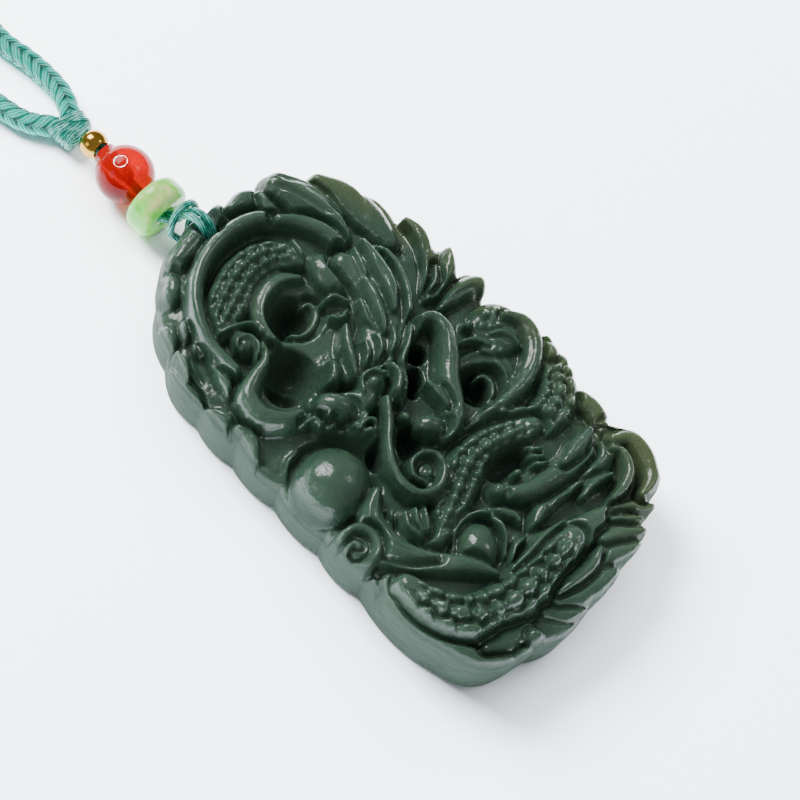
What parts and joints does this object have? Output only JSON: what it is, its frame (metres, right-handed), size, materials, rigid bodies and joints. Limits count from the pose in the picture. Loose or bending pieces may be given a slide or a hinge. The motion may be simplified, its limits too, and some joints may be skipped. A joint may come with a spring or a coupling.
{
  "type": "carved jade pendant",
  "caption": "Oval stone plaque carved in high relief with a coiled dragon and a pearl, hung by a thin cord through beads from a braided neck cord.",
  "frame": {"origin": "middle of the plaque's flat back", "axes": "+Z out of the carved face, +Y to the end with the cord hole, +X to the right of the carving"},
  "size_m": [0.0524, 0.1279, 0.0109],
  "materials": {
    "nephrite": "dark green, polished",
    "satin_cord": "teal satin",
    "braided_cord": "teal silky braid",
    "apple_green_stone": "apple green, polished, slightly cloudy",
    "red_agate": "clear red, polished",
    "gold": "polished yellow metal",
    "tie_thread": "teal thread"
  },
  "bodies": {
    "root": {"jade_plaque": "nephrite", "bail_cord": "satin_cord", "green_disc_bead": "apple_green_stone", "red_round_bead": "red_agate", "gold_round_bead": "gold", "cord_wrap": "satin_cord", "cord_leg_upper": "braided_cord", "cord_leg_lower": "braided_cord", "cord_coil": "braided_cord", "coil_tie": "tie_thread"}
  },
  "joints": []
}
